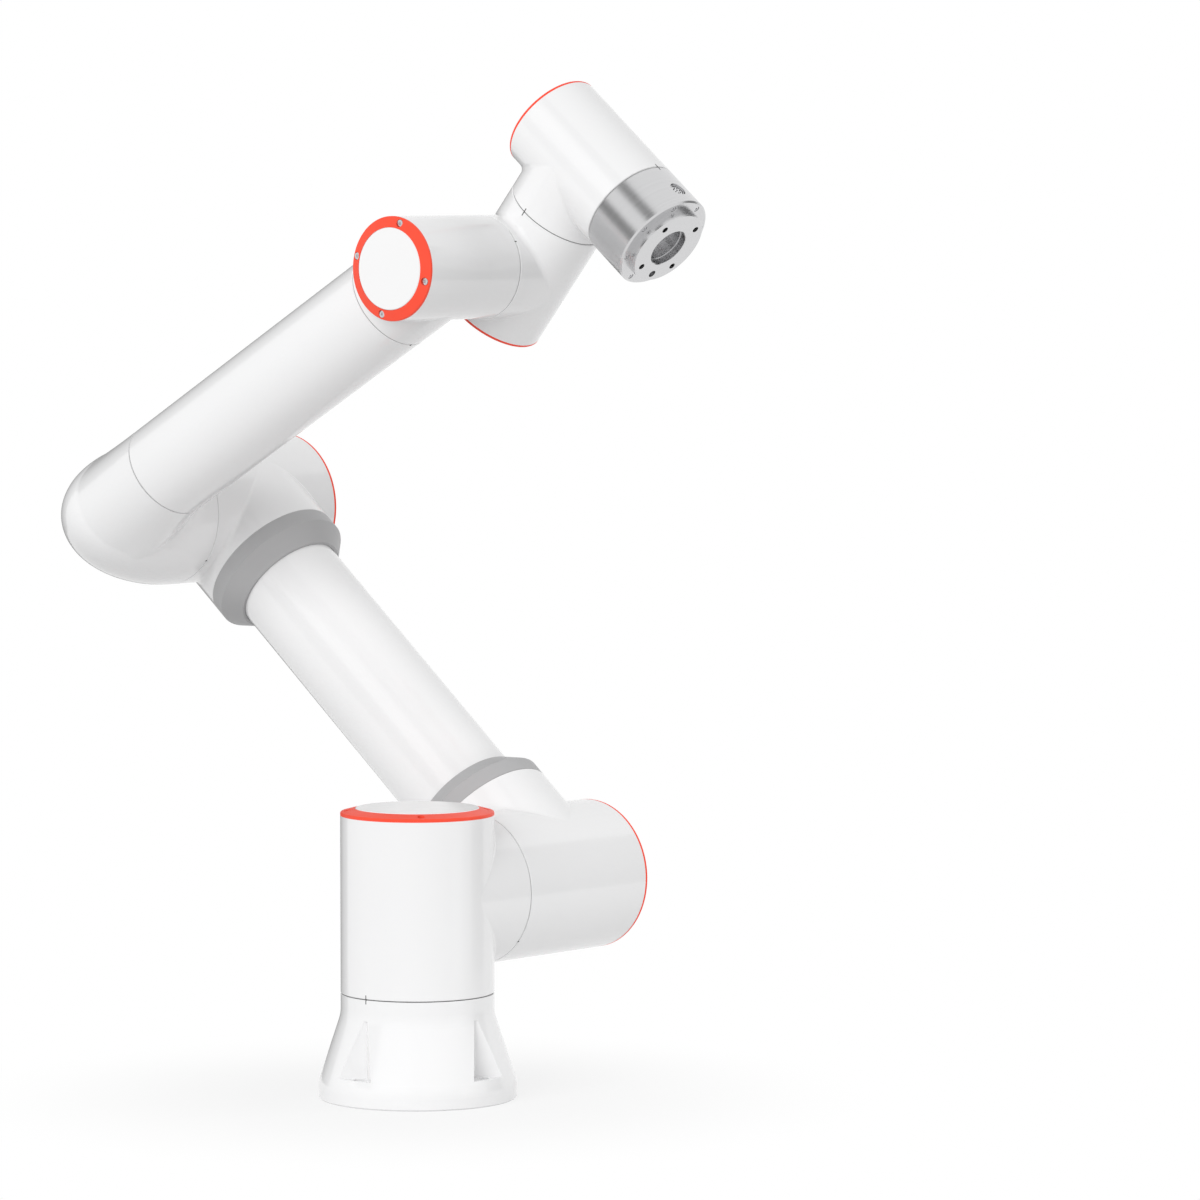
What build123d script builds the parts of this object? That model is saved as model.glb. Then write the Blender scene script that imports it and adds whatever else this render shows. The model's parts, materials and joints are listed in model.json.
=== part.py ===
"""Six-axis robot arm in its rest pose: one STEP file per piece, millimetres, +Z up.

The origin is the centre of the foot's underside. The arm folds in the XZ plane: the upper arm
leans back to -X, the forearm comes forward over the base, and the tool points forward and down.
"""
import os
from math import cos, radians, sin, tan

from build123d import *

# Arm spans, between joint axes
upper_arm_length = 425.0
forearm_length = 395.0

# Rest pose, degrees from the vertical
upper_arm_lean = 49.7
forearm_lean = 60.05
wrist_lean = 39.6

# Housings: each is a barrel on its joint's axis with a stub square to it.
# A reach is how far an end stands past the round body that crosses it.
big_radius = 57.5
wrist_1_radius = 38.9
radius_step = 0.4
base_seam_height = 79.4
turret_seam_reach = 14.75
turret_cap_reach = 4.1
turret_stub_reach = 6.75
arm_seam_reach = 12.85
arm_cap_reach = 6.2
arm_stub_reach = 7.2
wrist_seam_reach = 14.35
wrist_cap_reach = 6.7
wrist_stub_reach = 8.35
wrist_1_stub_reach = 10.0
dome_stub_reach = 17.8
big_blend = 4.0
wrist_blend = 5.0
edge_break = 0.5

# Running seams between bodies, with a seal ring let into the parent
seam_gap = 0.7
seal_inset = 1.0
seal_width = 7.0
seal_depth = 2.0
seal_clearance = 0.3
gasket_thickness = 0.8
gasket_inset = 0.7

# End caps: a ring with a sloped face round a flat disc
big_ring_width = 11.0
wrist_ring_width = 8.2
big_ring_rim = 2.4
wrist_ring_rim = 1.9
big_ring_height = 5.2
wrist_ring_height = 4.4
disc_fit = 0.15
disc_proud = 0.3
cap_screw_radius = 2.6
cap_screw_fit = 0.3
cap_screw_floor = 0.5
cap_screw_height = 2.0
cap_screw_count = 4

# Arm tubes and collars
upper_arm_radius = 43.0
collar_fit = 0.2
collar_band = 12.0
collar_length = 25.5
collar_lip = 2.2

# Elbow dome
dome_length = 101.0
dome_stub_inset = 1.0
dome_stub_flare = 6.1
dome_blend = 12.0

# Foot
foot_radius = 74.5
foot_rim = 13.4
foot_neck_drop = 15.2
foot_blend = 30.0
foot_edge = 1.0
pocket_floor = 20.0
pocket_top_drop = 15.9
pocket_depth_past_neck = 1.1
pocket_half_angle = 49.5
base_bolt_circle = 132.0
base_bolt_radius = 4.25
base_bolt_count = 4

# Cable socket on the back of the foot
socket_angle = 135.0
socket_height = 41.0
socket_radius = 12.5
socket_depth_past_neck = 2.9
socket_length = 10.0
socket_bore = 9.0
socket_bore_depth = 7.0
socket_core = 6.0
socket_core_height = 4.0
socket_fit = 0.4

# Tool flange
tool_body_length = 39.85
tool_plate_height = 6.2
tool_edge = 1.2
plate_radius = 31.5
plate_bore_radius = 15.75
shaft_bore_step = 0.75
shaft_bore_depth = 12.0
tool_bolt_circle = 50.0
tool_bolt_radius = 2.5
tool_bolt_depth = 12.0
tool_bolt_count = 4
tool_pin_radius = 3.0
tool_pin_depth = 6.0
ring_screw_radius = 2.0
ring_screw_fit = 0.25
ring_screw_depth = 2.4
ring_screw_height = 2.0
ring_screw_count = 8
connector_setback = 14.8
connector_radius = 6.0
connector_bore = 5.1
connector_core = 4.6
connector_length = 6.6
connector_sink = 1.0
connector_bore_depth = 3.0
connector_core_height = 2.2
connector_fit = 0.3

# Radii and lengths that follow from those above
half_gap = seam_gap / 2
turret_radius = big_radius + radius_step
arm_stub_radius = big_radius - radius_step
forearm_radius = wrist_1_radius - radius_step
wrist_2_radius = wrist_1_radius + radius_step
wrist_3_radius = wrist_2_radius + radius_step
turret_cap_end = big_radius + turret_cap_reach
turret_seam_end = big_radius + turret_seam_reach
turret_stub_end = turret_radius + turret_stub_reach
arm_cap_end = big_radius + arm_cap_reach
arm_seam_end = big_radius + arm_seam_reach
arm_stub_end = big_radius + arm_stub_reach
wrist_cap_end = wrist_1_radius + wrist_cap_reach
wrist_barrel_end = wrist_1_radius + wrist_seam_reach
wrist_stub_end = wrist_3_radius + wrist_stub_reach
wrist_1_stub_end = wrist_1_radius + wrist_1_stub_reach
dome_stub_end = big_radius + dome_stub_reach
shoulder_height = base_seam_height + half_gap + turret_seam_end
upper_arm_offset = turret_stub_end + seam_gap + arm_seam_end
wrist_step = wrist_barrel_end + seam_gap + wrist_stub_end
tool_start = wrist_barrel_end + seam_gap
tool_ring_face = tool_start + tool_body_length
tool_reach = tool_ring_face + tool_plate_height
shaft_bore_radius = plate_bore_radius - shaft_bore_step
big_ring = (big_ring_width, big_ring_rim, big_ring_height)
wrist_ring = (wrist_ring_width, wrist_ring_rim, wrist_ring_height)

BASE = (Align.CENTER, Align.CENTER, Align.MIN)

# Directions and joint points of the rest pose
up = Vector(0, 0, 1)
side = Vector(0, 1, 0)
upper_arm_dir = Vector(-sin(radians(upper_arm_lean)), 0, cos(radians(upper_arm_lean)))
forearm_dir = Vector(sin(radians(forearm_lean)), 0, cos(radians(forearm_lean)))
wrist_dir = Vector(sin(radians(wrist_lean)), 0, cos(radians(wrist_lean)))
tool_dir = Vector(cos(radians(wrist_lean)), 0, -sin(radians(wrist_lean)))
shoulder_point = up * shoulder_height
elbow_point = shoulder_point + upper_arm_dir * upper_arm_length
wrist_1_point = elbow_point + forearm_dir * forearm_length
wrist_2_point = wrist_1_point + side * wrist_step
wrist_3_point = wrist_2_point + wrist_dir * wrist_step

# Frames: Z runs from a housing's cap to its seam, X along its stub
turret_frame = Plane(shoulder_point, x_dir=side, z_dir=-up)
shoulder_frame = Plane(shoulder_point + side * upper_arm_offset, x_dir=upper_arm_dir, z_dir=-side)
elbow_frame = Plane(elbow_point + side * upper_arm_offset, x_dir=-upper_arm_dir, z_dir=-side)
dome_frame = Plane(elbow_point, x_dir=forearm_dir, z_dir=side)
wrist_1_frame = Plane(wrist_1_point, x_dir=-forearm_dir, z_dir=side)
wrist_2_frame = Plane(wrist_2_point, x_dir=-side, z_dir=wrist_dir)
wrist_3_frame = Plane(wrist_3_point, x_dir=-wrist_dir, z_dir=tool_dir)
tool_frame = Plane(wrist_3_point, x_dir=side, z_dir=tool_dir)

pieces = {}


def put(name, frame, shape):
    """Keep a piece, moved from its own frame to the rest pose."""
    pieces[name] = shape.moved(frame.location)


def along_x(length=0.0):
    """A place on the stub's axis, with Z turned along it."""
    return Pos(length, 0, 0) * Rot(0, 90, 0)


def rod(radius, length):
    """A cylinder from the origin along Z."""
    return Cylinder(radius, length, align=BASE)


def tube(outer, inner, length):
    """A round ring from the origin along Z."""
    return rod(outer, length) - rod(inner, length)


def crossing_edges(shape):
    """The curved edges on the stub's side, where two round bodies meet."""
    plain = (GeomType.CIRCLE, GeomType.LINE)
    return [e for e in shape.edges() if e.geom_type not in plain and e.center().X > 0]


def broken_rod(radius, length):
    """A cylinder with its far edge broken."""
    body = rod(radius, length)
    return chamfer(body.faces().sort_by(Axis.Z)[-1].edges(), edge_break)


def housing(barrel_radius, cap_end, seam_end, stub_radius, stub_end, blend):
    """A barrel from cap to seam with a blended stub."""
    barrel = Pos(0, 0, -cap_end) * broken_rod(barrel_radius, cap_end + seam_end)
    body = barrel + along_x() * broken_rod(stub_radius, stub_end)
    return fillet(crossing_edges(body), blend)


def seal(radius):
    """A seal ring, its seat at depth below the parent's end face."""
    outer = radius - seal_inset
    reach = seal_depth + seam_gap - seal_clearance
    return Pos(0, 0, -seal_depth) * tube(outer, outer - seal_width, reach)


def gasket(radius):
    """A thin ring between two bolted faces."""
    return tube(radius - gasket_inset, radius - gasket_inset - seal_width, gasket_thickness)


def socket_screw(radius, height):
    """A screw head with a hexagon socket half its height deep."""
    socket = extrude(RegularPolygon(radius / 2, 6), height)
    return rod(radius, height) - Pos(0, 0, height / 2) * socket


def cap(prefix, frame, radius, cap_end, ring_width, ring_rim, ring_height):
    """The ring, disc and screws that close a housing's cap end."""
    disc_radius = radius - ring_width
    seat = Pos(0, 0, -cap_end) * Rot(180, 0, 0)
    profile = Polyline((disc_radius, 0), (radius, 0), (radius, ring_rim),
                       (disc_radius, ring_height), (disc_radius, 0))
    ring = revolve(Plane.XZ * make_face(profile), Axis.Z)
    ring = chamfer(ring.edges().filter_by(GeomType.CIRCLE).sort_by(SortBy.RADIUS)[-2:]
                   .sort_by(Axis.Z)[-1:], edge_break)
    places = PolarLocations((radius + disc_radius) / 2, cap_screw_count, start_angle=45)
    floor = Pos(0, 0, cap_screw_floor)
    head = socket_screw(cap_screw_radius, cap_screw_height)
    for place in places:
        ring -= place * floor * rod(cap_screw_radius + cap_screw_fit, ring_height)
    disc = rod(disc_radius - disc_fit, ring_height + disc_proud)
    disc = chamfer(disc.faces().sort_by(Axis.Z)[-1].edges(), edge_break)
    put(prefix + "_cap_ring", frame, seat * ring)
    put(prefix + "_cap_disc", frame, seat * disc)
    put(prefix + "_cap_screws", frame, Compound([seat * place * floor * head for place in places]))


# Base: flared foot with four bolt pockets
neck_radius = turret_radius
foot_top = base_seam_height - half_gap
foot_neck = foot_top - foot_neck_drop
outline = make_face(Polyline((0, 0), (foot_radius, 0), (foot_radius, foot_rim), (neck_radius, foot_neck),
                             (neck_radius, foot_top), (0, foot_top), (0, 0)))
corners = outline.vertices().sort_by(Axis.Y)[2:4]
outline = fillet(corners, foot_blend)
foot = revolve(Plane.XZ * outline, Axis.Z)
foot = chamfer(foot.edges().filter_by(GeomType.CIRCLE).group_by(Axis.Z)[0], foot_edge)
foot = chamfer(foot.edges().filter_by(GeomType.CIRCLE).group_by(Axis.Z)[-1], edge_break)
pocket_inner = neck_radius - pocket_depth_past_neck
pocket_reach = 2 * foot_radius
pocket_half = (pocket_reach - pocket_inner) * tan(radians(pocket_half_angle))
notch = extrude(make_face(Polyline((pocket_inner, 0), (pocket_reach, pocket_half),
                                   (pocket_reach, -pocket_half), (pocket_inner, 0))),
                foot_top - pocket_top_drop - pocket_floor)
for place in PolarLocations(0, base_bolt_count):
    foot -= place * Pos(0, 0, pocket_floor) * notch
for place in PolarLocations(base_bolt_circle / 2, base_bolt_count):
    foot -= place * rod(base_bolt_radius, pocket_floor)
base_seal = Pos(0, 0, foot_top) * seal(neck_radius)
foot -= base_seal
socket_seat = neck_radius - socket_depth_past_neck
socket_place = Rot(0, 0, socket_angle) * Pos(socket_seat, 0, socket_height) * Rot(0, 90, 0)
foot -= socket_place * rod(socket_radius + socket_fit, foot_radius)
socket = broken_rod(socket_radius, socket_length)
socket -= Pos(0, 0, socket_length - socket_bore_depth) * rod(socket_bore, socket_bore_depth)
socket += Pos(0, 0, socket_length - socket_bore_depth) * broken_rod(socket_core, socket_core_height)
pieces["base_foot"] = foot
pieces["base_joint_seal"] = base_seal
pieces["base_cable_socket"] = socket_place * socket

# Turret
body = housing(turret_radius, turret_cap_end, turret_seam_end, big_radius, turret_stub_end, big_blend)
shoulder_seal = along_x(turret_stub_end) * seal(big_radius)
put("turret_housing", turret_frame, body - shoulder_seal)
put("shoulder_joint_seal", turret_frame, shoulder_seal)
cap("turret", turret_frame, turret_radius, turret_cap_end, *big_ring)

# Upper arm: shoulder and elbow housings joined by a tube with a collar at each end
body = housing(big_radius, arm_cap_end, arm_seam_end, arm_stub_radius, arm_stub_end, big_blend)
put("shoulder_housing", shoulder_frame, body)
elbow_seal = Pos(0, 0, arm_seam_end) * seal(big_radius)
put("elbow_housing", elbow_frame, body - elbow_seal)
put("elbow_joint_seal", elbow_frame, elbow_seal)
cap("shoulder", shoulder_frame, big_radius, arm_cap_end, *big_ring)
cap("elbow", elbow_frame, big_radius, arm_cap_end, *big_ring)
collar_bore = upper_arm_radius + collar_fit
collar = revolve(Plane.XZ * make_face(Polyline(
    (collar_bore, 0), (arm_stub_radius, 0), (arm_stub_radius, collar_band),
    (collar_bore + collar_lip, collar_length), (collar_bore, collar_length), (collar_bore, 0))), Axis.Z)
put("shoulder_collar", shoulder_frame, along_x(arm_stub_end) * collar)
put("elbow_collar", elbow_frame, along_x(arm_stub_end) * collar)
put("upper_arm_tube", shoulder_frame,
    along_x(arm_stub_end) * rod(upper_arm_radius, upper_arm_length - 2 * arm_stub_end))

# Forearm: domed elbow, tube and wrist 1
dome_face = turret_stub_end


def dome_profile(inset, angles):
    """Points of the dome's half outline, each a radius and a height, from its pole on."""
    return [((big_radius - inset) * sin(radians(a)), dome_face - (dome_length - inset) * cos(radians(a)))
            for a in angles]


dome_points = dome_profile(0, range(0, 91, 10))
dome_side = make_face([Spline(*dome_points), Line(dome_points[-1], (0, dome_face)),
                       Line((0, dome_face), dome_points[0])])
dome = Rot(0, 0, 180) * revolve(Plane.XZ * dome_side, Axis.Z)

# The stub starts as the dome's own section, a little inside it and closed behind, and narrows to the tube
root_points = dome_profile(dome_stub_inset, range(0, 56, 11))
root_width, root_height = root_points[-1]
root_rise = forearm_radius + dome_stub_flare - root_height
root_points += [(root_width * cos(radians(a)), root_height + root_rise * sin(radians(a)))
                for a in range(30, 91, 30)]
root_outline = Spline(*root_points, tangents=[(1, 0), (-1, 0)])
root = make_face([root_outline, mirror(root_outline, Plane.YZ)])
tube_front, tube_back = (0, -forearm_radius), (0, forearm_radius)
tube_end_face = make_face([ThreePointArc(tube_front, (forearm_radius, 0), tube_back),
                           ThreePointArc(tube_back, (-forearm_radius, 0), tube_front)])
dome += loft([Plane.YZ * root, Plane.YZ.offset(dome_stub_end) * tube_end_face], ruled=True)
creases = [e for e in crossing_edges(dome) if abs(e.center().Y) > dome_stub_inset]
dome = fillet(creases, dome_blend)
put("elbow_dome", dome_frame, dome)
put("forearm_lower_gasket", dome_frame, along_x(dome_stub_end) * gasket(forearm_radius))
tube_start = dome_stub_end + gasket_thickness
tube_end = forearm_length - wrist_1_stub_end - gasket_thickness
forearm = broken_rod(forearm_radius, tube_end - tube_start)
forearm = chamfer(forearm.faces().sort_by(Axis.Z)[0].edges(), edge_break)
put("forearm_tube", dome_frame, along_x(tube_start) * forearm)
put("forearm_upper_gasket", wrist_1_frame, along_x(wrist_1_stub_end) * gasket(forearm_radius))


def wrist(prefix, frame, radius, stub_radius, stub_end):
    """A wrist housing with its cap and the seal at its seam."""
    ring = Pos(0, 0, wrist_barrel_end) * seal(radius)
    shell = housing(radius, wrist_cap_end, wrist_barrel_end, stub_radius, stub_end, wrist_blend)
    put(prefix + "_housing", frame, shell - ring)
    put(prefix + "_joint_seal", frame, ring)
    cap(prefix, frame, radius, wrist_cap_end, *wrist_ring)


wrist("wrist_1", wrist_1_frame, wrist_1_radius, forearm_radius, wrist_1_stub_end)
wrist("wrist_2", wrist_2_frame, wrist_2_radius, wrist_1_radius, wrist_stub_end)
wrist("wrist_3", wrist_3_frame, wrist_3_radius, wrist_2_radius, wrist_stub_end)

# Tool flange: body, raised plate, ring screws and side connector
body = Pos(0, 0, tool_start) * rod(wrist_3_radius, tool_body_length)
body = chamfer(body.faces().sort_by(Axis.Z)[0].edges(), edge_break)
body = chamfer(body.faces().sort_by(Axis.Z)[-1].edges(), tool_edge)
plate = Pos(0, 0, tool_ring_face) * tube(plate_radius, plate_bore_radius, tool_plate_height)
plate = chamfer(plate.faces().sort_by(Axis.Z)[-1].edges(), edge_break)
for place in PolarLocations(tool_bolt_circle / 2, tool_bolt_count, start_angle=45):
    hole = place * Pos(0, 0, tool_reach - tool_bolt_depth) * rod(tool_bolt_radius, tool_bolt_depth)
    body -= hole
    plate -= hole
plate -= Pos(0, -tool_bolt_circle / 2, tool_reach - tool_pin_depth) * rod(tool_pin_radius, tool_pin_depth)
body -= Pos(0, 0, tool_ring_face - shaft_bore_depth) * rod(shaft_bore_radius, shaft_bore_depth)
ring_floor = tool_ring_face - ring_screw_depth
ring_screw_place = (plate_radius + wrist_3_radius - tool_edge) / 2
head = socket_screw(ring_screw_radius, ring_screw_height)
screws = []
for place in PolarLocations(ring_screw_place, ring_screw_count, start_angle=22.5):
    body -= place * Pos(0, 0, ring_floor) * rod(ring_screw_radius + ring_screw_fit, ring_screw_depth)
    screws.append(place * Pos(0, 0, ring_floor) * head)
connector_seat = wrist_3_radius - connector_sink - connector_length
connector_place = Pos(0, connector_seat, tool_ring_face - connector_setback) * Rot(-90, 0, 0)
body -= connector_place * rod(connector_radius + connector_fit, wrist_3_radius)
connector = broken_rod(connector_radius, connector_length)
connector -= Pos(0, 0, connector_length - connector_bore_depth) * rod(connector_bore, connector_bore_depth)
connector += Pos(0, 0, connector_length - connector_bore_depth) * rod(connector_core, connector_core_height)
put("tool_body", tool_frame, body)
put("tool_plate", tool_frame, plate)
put("tool_ring_screws", tool_frame, Compound(screws))
put("tool_connector", tool_frame, connector_place * connector)

os.makedirs("parts", exist_ok=True)
for name, shape in pieces.items():
    export_step(shape, f"parts/{name}.step")
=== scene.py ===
"""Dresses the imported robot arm: paint, metal and rubber finishes, seam marks, studio and camera."""

import json
from math import pi, radians

import bmesh
import bpy
from mathutils import Matrix, Vector


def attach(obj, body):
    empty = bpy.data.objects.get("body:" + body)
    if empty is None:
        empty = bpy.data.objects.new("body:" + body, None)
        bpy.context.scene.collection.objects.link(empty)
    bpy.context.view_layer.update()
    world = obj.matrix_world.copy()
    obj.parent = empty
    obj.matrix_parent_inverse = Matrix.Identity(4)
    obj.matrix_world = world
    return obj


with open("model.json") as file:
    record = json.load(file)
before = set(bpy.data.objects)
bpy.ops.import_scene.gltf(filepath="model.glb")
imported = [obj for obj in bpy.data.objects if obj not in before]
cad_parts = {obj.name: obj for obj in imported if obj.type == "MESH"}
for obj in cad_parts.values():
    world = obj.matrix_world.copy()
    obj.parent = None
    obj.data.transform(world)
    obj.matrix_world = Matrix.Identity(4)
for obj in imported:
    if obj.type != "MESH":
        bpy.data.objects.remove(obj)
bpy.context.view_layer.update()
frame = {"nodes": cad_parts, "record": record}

# Camera, from the photograph's perspective
CAMERA_PLACE = Vector((3.111, -3.475, 0.707))
CAMERA_TURN = radians(40.15)
CAMERA_PITCH = radians(4.07)
CAMERA_LENS = 187.1

ACROSS = Vector((0, 1, 0))

# Studio: the floor's sizes in metres, then shares of one
FLOOR_RADIUS = 0.36
SHADE_START = 0.07
SHADE_WHITE = 0.78
FLOOR_GREY = 0.75
FLAG_GREY = 0.3
MATT_ROUGHNESS = 0.9
FILL_STRENGTH = 0.5

# Rubber in the dark seams and in the pale ones
SEAM_GREY = 0.16
PALE_SEAM_GREY = 0.42

# Marks at the seams and pins in the sockets, lengths in metres
SEAM_HALF = 0.00035
MARK_WIDTH = 0.0008
MARK_DEPTH = 0.0006
MARK_PROUD = 0.00005
LINE_MARK = 0.003
DOT_MARK = 0.0008
BIG_RADIUS = 0.0575
WRIST_RADIUS = 0.0389
RADIUS_STEP = 0.0004
WRIST_1_SEAM_REACH = 0.0536
FOREARM_GASKET_REACH = 0.0493
CONNECTOR_PLACE = 0.0254
CONNECTOR_FACE = 0.0378
CONNECTOR_PINS = {"circle": 0.0029, "count": 7, "radius": 0.00045, "height": 0.0006}
BASE_SOCKET_FACE = 0.0619
BASE_SOCKET_HEIGHT = 0.041
BASE_SOCKET_PINS = {"circle": 0.0036, "count": 6, "radius": 0.0007, "height": 0.0025}
PIN_SIDES = 24
PIN_STRAIGHT_SHARE = 0.8
PIN_TIP_SHARE = 0.6
WELD_DISTANCE = 1e-6


def joint(name):
    """The place and axis of one of the arm's joints, in metres."""
    row = next(j for j in frame["record"]["behaviour"]["joints"] if j["name"] == name)
    return Vector(row["pos_m"]), Vector(row["axis"]).normalized()


base_seam, base_axis = joint("base_joint")
shoulder_seam, _ = joint("shoulder_joint")
elbow_seam, _ = joint("elbow_joint")
wrist_1_seam, _ = joint("wrist_1_joint")
wrist_2_seam, wrist_2_axis = joint("wrist_2_joint")
wrist_3_seam, wrist_3_axis = joint("wrist_3_joint")
upper_arm_way = (elbow_seam - shoulder_seam).normalized()
forearm_way = ((wrist_1_seam - elbow_seam) * Vector((1, 0, 1))).normalized()


# Materials

class Finish:
    """A node material with a few shorthands for wiring it."""

    def __init__(self, name, color, roughness, metallic=0.0):
        self.material = bpy.data.materials.new(name)
        self.material.use_nodes = True
        self.tree = self.material.node_tree
        self.shader = self.tree.nodes["Principled BSDF"]
        self.shader.inputs["Base Color"].default_value = (*color, 1)
        self.shader.inputs["Roughness"].default_value = roughness
        self.shader.inputs["Metallic"].default_value = metallic
        self.place = self.node("ShaderNodeTexCoord").outputs["Object"]

    def node(self, kind, **values):
        made = self.tree.nodes.new(kind)
        for key, value in values.items():
            setattr(made, key, value)
        return made

    def link(self, source, target):
        self.tree.links.new(source, target)

    def noise(self, scale, detail=2.0, place=None):
        made = self.node("ShaderNodeTexNoise")
        made.inputs["Scale"].default_value = scale
        made.inputs["Detail"].default_value = detail
        self.link(place or self.place, made.inputs["Vector"])
        return made.outputs["Fac"]

    def between(self, factor, low, high):
        """A number that runs from low to high with the factor."""
        made = self.node("ShaderNodeMapRange")
        made.inputs["To Min"].default_value = low
        made.inputs["To Max"].default_value = high
        self.link(factor, made.inputs["Value"])
        return made.outputs["Result"]

    def tint(self, factor, low, high):
        """A colour that runs from low to high with the factor."""
        made = self.node("ShaderNodeMix", data_type="RGBA")
        made.inputs["A"].default_value = (*low, 1)
        made.inputs["B"].default_value = (*high, 1)
        self.link(factor, made.inputs["Factor"])
        return made.outputs["Result"]

    def vary_color(self, factor, low, high):
        self.link(self.tint(factor, low, high), self.shader.inputs["Base Color"])

    def vary_roughness(self, factor, low, high):
        self.link(self.between(factor, low, high), self.shader.inputs["Roughness"])

    def bump(self, height, strength, distance):
        made = self.node("ShaderNodeBump")
        made.inputs["Strength"].default_value = strength
        made.inputs["Distance"].default_value = distance
        self.link(height, made.inputs["Height"])
        self.link(made.outputs["Normal"], self.shader.inputs["Normal"])


def paint_finish():
    """Glossy white paint over castings and tubes, with a faint orange peel."""
    finish = Finish("arm_white_paint", (0.86, 0.86, 0.865), 0.2)
    finish.vary_color(finish.noise(9.0), (0.845, 0.845, 0.85), (0.875, 0.875, 0.878))
    finish.vary_roughness(finish.noise(60.0, 4.0), 0.15, 0.23)
    finish.bump(finish.noise(700.0), 0.05, 0.0002)
    finish.shader.inputs["Coat Weight"].default_value = 0.4
    finish.shader.inputs["Coat Roughness"].default_value = 0.06
    return finish.material


def disc_finish():
    """Smooth glossy white of the cap discs."""
    finish = Finish("cap_disc_white", (0.87, 0.87, 0.87), 0.2)
    finish.vary_color(finish.noise(14.0), (0.86, 0.86, 0.862), (0.885, 0.885, 0.885))
    finish.vary_roughness(finish.noise(80.0, 4.0), 0.16, 0.24)
    return finish.material


def ring_finish():
    """Satin orange-red moulding of the cap rings."""
    finish = Finish("cap_ring_red", (0.95, 0.08, 0.04), 0.42)
    finish.vary_color(finish.noise(40.0), (0.92, 0.07, 0.033), (0.97, 0.09, 0.046))
    finish.vary_roughness(finish.noise(250.0, 4.0), 0.36, 0.5)
    finish.bump(finish.noise(2600.0), 0.12, 0.0001)
    finish.shader.inputs["Specular IOR Level"].default_value = 0.35
    return finish.material


def collar_finish():
    """Satin mid-grey paint of the arm collars."""
    finish = Finish("collar_grey", (0.43, 0.43, 0.435), 0.45)
    finish.vary_color(finish.noise(25.0), (0.415, 0.415, 0.42), (0.445, 0.445, 0.45))
    finish.vary_roughness(finish.noise(180.0, 4.0), 0.4, 0.52)
    finish.bump(finish.noise(1500.0), 0.1, 0.00015)
    return finish.material


def rubber_finish(name, grey):
    """Matt rubber in the seams."""
    finish = Finish(name, (grey,) * 3, 0.75)
    finish.vary_color(finish.noise(300.0), (grey * 0.85,) * 3, (grey * 1.15,) * 3)
    finish.bump(finish.noise(3000.0), 0.2, 0.0001)
    return finish.material


def screw_finish():
    """Plain steel of the small socket screws."""
    finish = Finish("screw_steel", (0.72, 0.72, 0.73), 0.3, metallic=1.0)
    finish.vary_roughness(finish.noise(900.0, 4.0), 0.26, 0.44)
    return finish.material


def connector_finish():
    """Dark moulded plastic of the sockets."""
    finish = Finish("connector_black", (0.03, 0.03, 0.032), 0.5)
    finish.vary_roughness(finish.noise(700.0, 4.0), 0.42, 0.6)
    finish.bump(finish.noise(3500.0), 0.15, 0.0001)
    return finish.material


def turned_metal_finish():
    """Turned metal of the tool flange: fine lines that run round its axis."""
    finish = Finish("tool_turned_metal", (0.64, 0.64, 0.65), 0.26, metallic=1.0)
    turn = finish.node("ShaderNodeMapping", vector_type="TEXTURE")
    turn.inputs["Location"].default_value = wrist_3_seam
    turn.inputs["Rotation"].default_value = wrist_3_axis.to_track_quat("Z", "Y").to_euler()
    finish.link(finish.place, turn.inputs["Vector"])
    split = finish.node("ShaderNodeSeparateXYZ")
    finish.link(turn.outputs["Vector"], split.inputs["Vector"])
    flat = finish.node("ShaderNodeCombineXYZ")
    finish.link(split.outputs["X"], flat.inputs["X"])
    finish.link(split.outputs["Y"], flat.inputs["Y"])
    radius = finish.node("ShaderNodeVectorMath", operation="LENGTH")
    finish.link(flat.outputs["Vector"], radius.inputs[0])
    ringed = finish.node("ShaderNodeCombineXYZ")
    finish.link(radius.outputs["Value"], ringed.inputs["X"])
    finish.link(split.outputs["Z"], ringed.inputs["Z"])
    lines = finish.noise(2500.0, 3.0, ringed.outputs["Vector"])
    finish.vary_color(lines, (0.59, 0.59, 0.60), (0.70, 0.70, 0.705))
    finish.vary_roughness(lines, 0.18, 0.32)
    finish.bump(lines, 0.12, 0.0001)
    return finish.material


def mark_finish():
    """Dark filling of the engraved seam marks."""
    finish = Finish("seam_mark_grey", (0.05, 0.05, 0.05), 0.6)
    finish.vary_roughness(finish.noise(900.0), 0.5, 0.7)
    return finish.material


slot_finishes = {
    "white_paint": paint_finish(), "cap_disc": disc_finish(), "cap_ring": ring_finish(),
    "collar": collar_finish(), "seal_rubber": rubber_finish("seam_rubber", SEAM_GREY),
    "plain_steel": screw_finish(), "connector": connector_finish(), "tool_metal": turned_metal_finish(),
}
for part in frame["record"]["subparts"]:
    node = frame["nodes"][part["node"]]
    node.data.materials.clear()
    node.data.materials.append(slot_finishes[part["material_slot"]])
pale_rubber = rubber_finish("pale_seam_rubber", PALE_SEAM_GREY)
for pale_seal in ("forearm_lower_gasket", "forearm_upper_gasket", "wrist_3_joint_seal"):
    frame["nodes"][pale_seal].data.materials[0] = pale_rubber


# Small fittings: marks on the seams and pins in the sockets

def keep_piece(name, shape, finish, body):
    """Close a shape, hand it to its body and give it its finish."""
    bmesh.ops.remove_doubles(shape, verts=shape.verts, dist=WELD_DISTANCE)
    bmesh.ops.recalc_face_normals(shape, faces=shape.faces)
    mesh = bpy.data.meshes.new(name)
    shape.to_mesh(mesh)
    shape.free()
    mesh.materials.append(finish)
    piece = bpy.data.objects.new(name, mesh)
    bpy.context.scene.collection.objects.link(piece)
    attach(piece, body)


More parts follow.
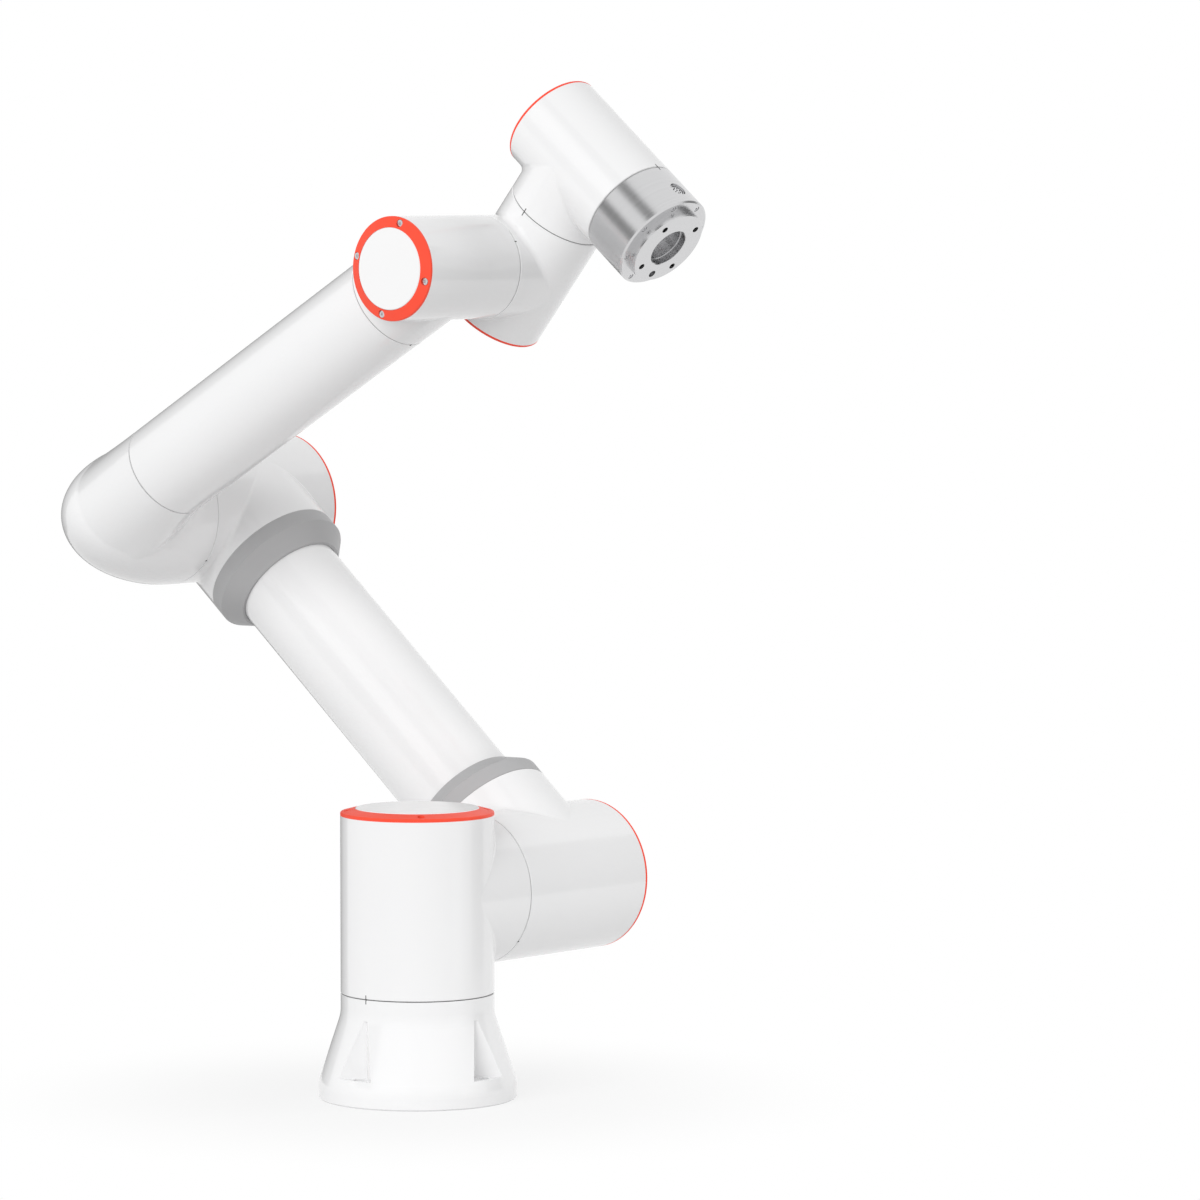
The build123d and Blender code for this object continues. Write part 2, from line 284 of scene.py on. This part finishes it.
def seam_mark(name, seam, axis, facing, radius, length, body):
    """A filled notch on a housing's side, from the seam along the axis, beside its neighbour's."""
    across = axis.cross(facing)
    middle = seam + facing * (radius - MARK_DEPTH / 2 + MARK_PROUD)
    middle += axis * (SEAM_HALF + length / 2)
    turn = Matrix((across, axis, facing)).transposed().to_4x4()
    shape = bmesh.new()
    bmesh.ops.create_cube(shape, size=1.0)
    bmesh.ops.scale(shape, vec=(MARK_WIDTH, length, MARK_DEPTH), verts=shape.verts)
    bmesh.ops.bevel(shape, geom=shape.edges[:], offset=MARK_PROUD, offset_type="OFFSET", segments=2,
                    profile=0.5, affect="EDGES", material=-1)
    bmesh.ops.transform(shape, matrix=Matrix.Translation(middle) @ turn, verts=shape.verts)
    keep_piece(name, shape, mark, body)


def socket_pins(name, face, axis, circle, count, radius, height, finish, body, slot):
    """Round-ended contact pins that stand on a socket's core: a ring of them and one in the middle."""
    turn = axis.to_track_quat("Z", "Y").to_matrix()
    start = axis.orthogonal().normalized() * circle
    places = [Matrix.Rotation(2 * pi * k / count, 3, axis) @ start for k in range(count)] + [Vector()]
    straight, tip = height * PIN_STRAIGHT_SHARE, radius * PIN_TIP_SHARE
    outline = [(0, 0), (radius, 0), (radius, straight), (tip, height), (0, height)]
    shape = bmesh.new()
    for place in places:
        foot = face + place
        rim = [shape.verts.new(foot + turn @ Vector((r, 0, h))) for r, h in outline]
        edges = [shape.edges.new(pair) for pair in zip(rim, rim[1:])]
        bmesh.ops.spin(shape, geom=rim + edges, cent=foot, axis=axis, angle=2 * pi, steps=PIN_SIDES,
                       use_merge=True)
    keep_piece(name, shape, finish, body)


mark = mark_finish()
seam_marks = (
    ("base_joint", base_seam, base_axis, -ACROSS, BIG_RADIUS + RADIUS_STEP, LINE_MARK, "base", "turret"),
    ("shoulder_joint", shoulder_seam, ACROSS, -upper_arm_way, BIG_RADIUS, DOT_MARK, "turret", "upper_arm"),
    ("elbow_joint", elbow_seam, ACROSS, -upper_arm_way, BIG_RADIUS, DOT_MARK, "forearm", "upper_arm"),
    ("wrist_1_joint", wrist_1_seam, ACROSS, forearm_way, WRIST_RADIUS, DOT_MARK, "forearm", "wrist_2"),
    ("wrist_2_joint", wrist_2_seam, wrist_2_axis, -ACROSS, WRIST_RADIUS + RADIUS_STEP, LINE_MARK,
     "wrist_2", "wrist_3"),
    ("wrist_3_joint", wrist_3_seam, wrist_3_axis, wrist_2_axis, WRIST_RADIUS + 2 * RADIUS_STEP, LINE_MARK,
     "wrist_3", "tool_flange"),
)
for name, seam, axis, facing, radius, length, parent, child in seam_marks:
    seam_mark(name + "_mark_low", seam, -axis, facing, radius, length, parent)
    seam_mark(name + "_mark_high", seam, axis, facing, radius, length, child)

wrist_1_middle = wrist_1_seam - ACROSS * WRIST_1_SEAM_REACH
gasket_middle = wrist_1_middle - forearm_way * FOREARM_GASKET_REACH
for name, way in (("forearm_mark_low", -forearm_way), ("forearm_mark_high", forearm_way)):
    seam_mark(name, gasket_middle, way, forearm_way.cross(-ACROSS), WRIST_RADIUS - RADIUS_STEP, DOT_MARK,
              "forearm")

connector_face = wrist_3_seam + wrist_3_axis * CONNECTOR_PLACE + wrist_2_axis * CONNECTOR_FACE
socket_pins("tool_connector_pins", connector_face, wrist_2_axis, **CONNECTOR_PINS,
            finish=slot_finishes["connector"], body="tool_flange", slot="connector")
base_socket_axis = Vector((-1, 1, 0)).normalized()
base_socket_face = base_socket_axis * BASE_SOCKET_FACE + Vector((0, 0, BASE_SOCKET_HEIGHT))
socket_pins("base_socket_pins", base_socket_face, base_socket_axis, **BASE_SOCKET_PINS,
            finish=slot_finishes["plain_steel"], body="base", slot="plain_steel")


# Studio

def studio_point(right, front, height):
    """A place given from the camera's side of the arm, in metres."""
    turn = Matrix.Rotation(CAMERA_TURN, 3, "Z")
    return turn @ Vector((right, -front, height))


def softbox(name, place, aim, size, watts):
    """A square lamp that lights the arm and stays out of its reflections."""
    lamp = bpy.data.lights.new(name, "AREA")
    lamp.shape = "SQUARE"
    lamp.size = size
    lamp.energy = watts
    box = bpy.data.objects.new(name, lamp)
    box.location = place
    box.rotation_euler = (aim - place).to_track_quat("-Z", "Y").to_euler()
    box.visible_glossy = False
    bpy.context.scene.collection.objects.link(box)


def white_for_seen_rays(tree, share):
    """A factor that is 1 for the rays that see the background and share for the others."""
    rays = tree.nodes.new("ShaderNodeLightPath")
    last = None
    for seen in ("Is Camera Ray", "Is Glossy Ray", "Is Transmission Ray"):
        most = tree.nodes.new("ShaderNodeMath")
        most.operation = "MAXIMUM"
        most.inputs[1].default_value = share
        tree.links.new(rays.outputs[seen], most.inputs[0])
        if last:
            tree.links.new(last, most.inputs[1])
        last = most.outputs["Value"]
    return last


def matt_material(name, grey):
    """A matt grey for the floor and the flags, with its shader."""
    material = bpy.data.materials.new(name)
    material.use_nodes = True
    shader = material.node_tree.nodes["Principled BSDF"]
    shader.inputs["Base Color"].default_value = (grey, grey, grey, 1)
    shader.inputs["Roughness"].default_value = MATT_ROUGHNESS
    return material, shader


def floor_finish():
    """White floor that keeps a soft shadow near the foot and is plain white further out."""
    material, shader = matt_material("studio_floor", FLOOR_GREY)
    tree = material.node_tree
    place = tree.nodes.new("ShaderNodeTexCoord")
    distance = tree.nodes.new("ShaderNodeVectorMath")
    distance.operation = "LENGTH"
    tree.links.new(place.outputs["Object"], distance.inputs[0])
    fade = tree.nodes.new("ShaderNodeMapRange")
    fade.interpolation_type = "SMOOTHSTEP"
    fade.inputs["From Min"].default_value = SHADE_START
    fade.inputs["From Max"].default_value = FLOOR_RADIUS
    fade.inputs["To Min"].default_value = SHADE_WHITE
    tree.links.new(distance.outputs["Value"], fade.inputs["Value"])
    share = tree.nodes.new("ShaderNodeMath")
    share.operation = "MULTIPLY"
    tree.links.new(white_for_seen_rays(tree, 0.0), share.inputs[0])
    tree.links.new(fade.outputs["Result"], share.inputs[1])
    glow = tree.nodes.new("ShaderNodeEmission")
    mix = tree.nodes.new("ShaderNodeMixShader")
    tree.links.new(share.outputs["Value"], mix.inputs["Fac"])
    tree.links.new(shader.outputs["BSDF"], mix.inputs[1])
    tree.links.new(glow.outputs["Emission"], mix.inputs[2])
    tree.links.new(mix.outputs["Shader"], tree.nodes["Material Output"].inputs["Surface"])
    return material


def stage_piece(name, shape, material):
    """Keep a shape as part of the studio and not of the arm."""
    mesh = bpy.data.meshes.new(name)
    shape.to_mesh(mesh)
    shape.free()
    mesh.materials.append(material)
    piece = bpy.data.objects.new(name, mesh)
    bpy.context.scene.collection.objects.link(piece)
    return piece


def flag(name, place, aim, width, height):
    """A grey card that shows only in the reflections of paint and metal."""
    shape = bmesh.new()
    bmesh.ops.create_grid(shape, x_segments=1, y_segments=1, size=0.5)
    bmesh.ops.scale(shape, vec=(width, height, 1), verts=shape.verts)
    turn = (aim - place).to_track_quat("-Z", "Y").to_matrix().to_4x4()
    bmesh.ops.transform(shape, matrix=Matrix.Translation(place) @ turn, verts=shape.verts)
    card = stage_piece(name, shape, flag_material)
    card.visible_camera = False
    card.visible_diffuse = False
    card.visible_shadow = False


arm_middle = studio_point(0, 0, 0.4)
tool_middle = wrist_3_seam
softbox("key_softbox", studio_point(-1.8, 3.0, 2.0), arm_middle, size=3.0, watts=105)
softbox("right_softbox", studio_point(2.4, -0.3, 2.0), arm_middle, size=1.0, watts=14)
softbox("low_softbox", studio_point(0.8, 0.4, 0.08), shoulder_seam, size=0.3, watts=1.4)

shape = bmesh.new()
bmesh.ops.create_circle(shape, cap_ends=True, segments=96, radius=FLOOR_RADIUS)
stage_piece("floor", shape, floor_finish())

flag_material, _ = matt_material("flag_grey", FLAG_GREY)
flag("left_flag", studio_point(-1.8, 0.8, 0.95), tool_middle, width=0.8, height=0.8)
flag("right_flag", studio_point(2.6, -0.6, 0.9), arm_middle, width=1.4, height=2.4)
flag("back_left_flag", studio_point(-1.6, -2.8, 1.4), arm_middle, width=3.2, height=4.2)
flag("front_flag", studio_point(-0.5, 1.1, 2.2), tool_middle, width=0.7, height=0.7)

world = bpy.data.worlds.new("studio_white")
bpy.context.scene.world = world
world.use_nodes = True
sky = world.node_tree.nodes["Background"]
sky.inputs["Color"].default_value = (1, 1, 1, 1)
world.node_tree.links.new(white_for_seen_rays(world.node_tree, FILL_STRENGTH), sky.inputs["Strength"])

lens = bpy.data.cameras.new("camera")
lens.lens = CAMERA_LENS
camera = bpy.data.objects.new("camera", lens)
camera.location = CAMERA_PLACE
camera.rotation_euler = (pi / 2 - CAMERA_PITCH, 0, CAMERA_TURN)
bpy.context.scene.collection.objects.link(camera)
bpy.context.scene.camera = camera
bpy.context.scene.view_settings.view_transform = "Standard"
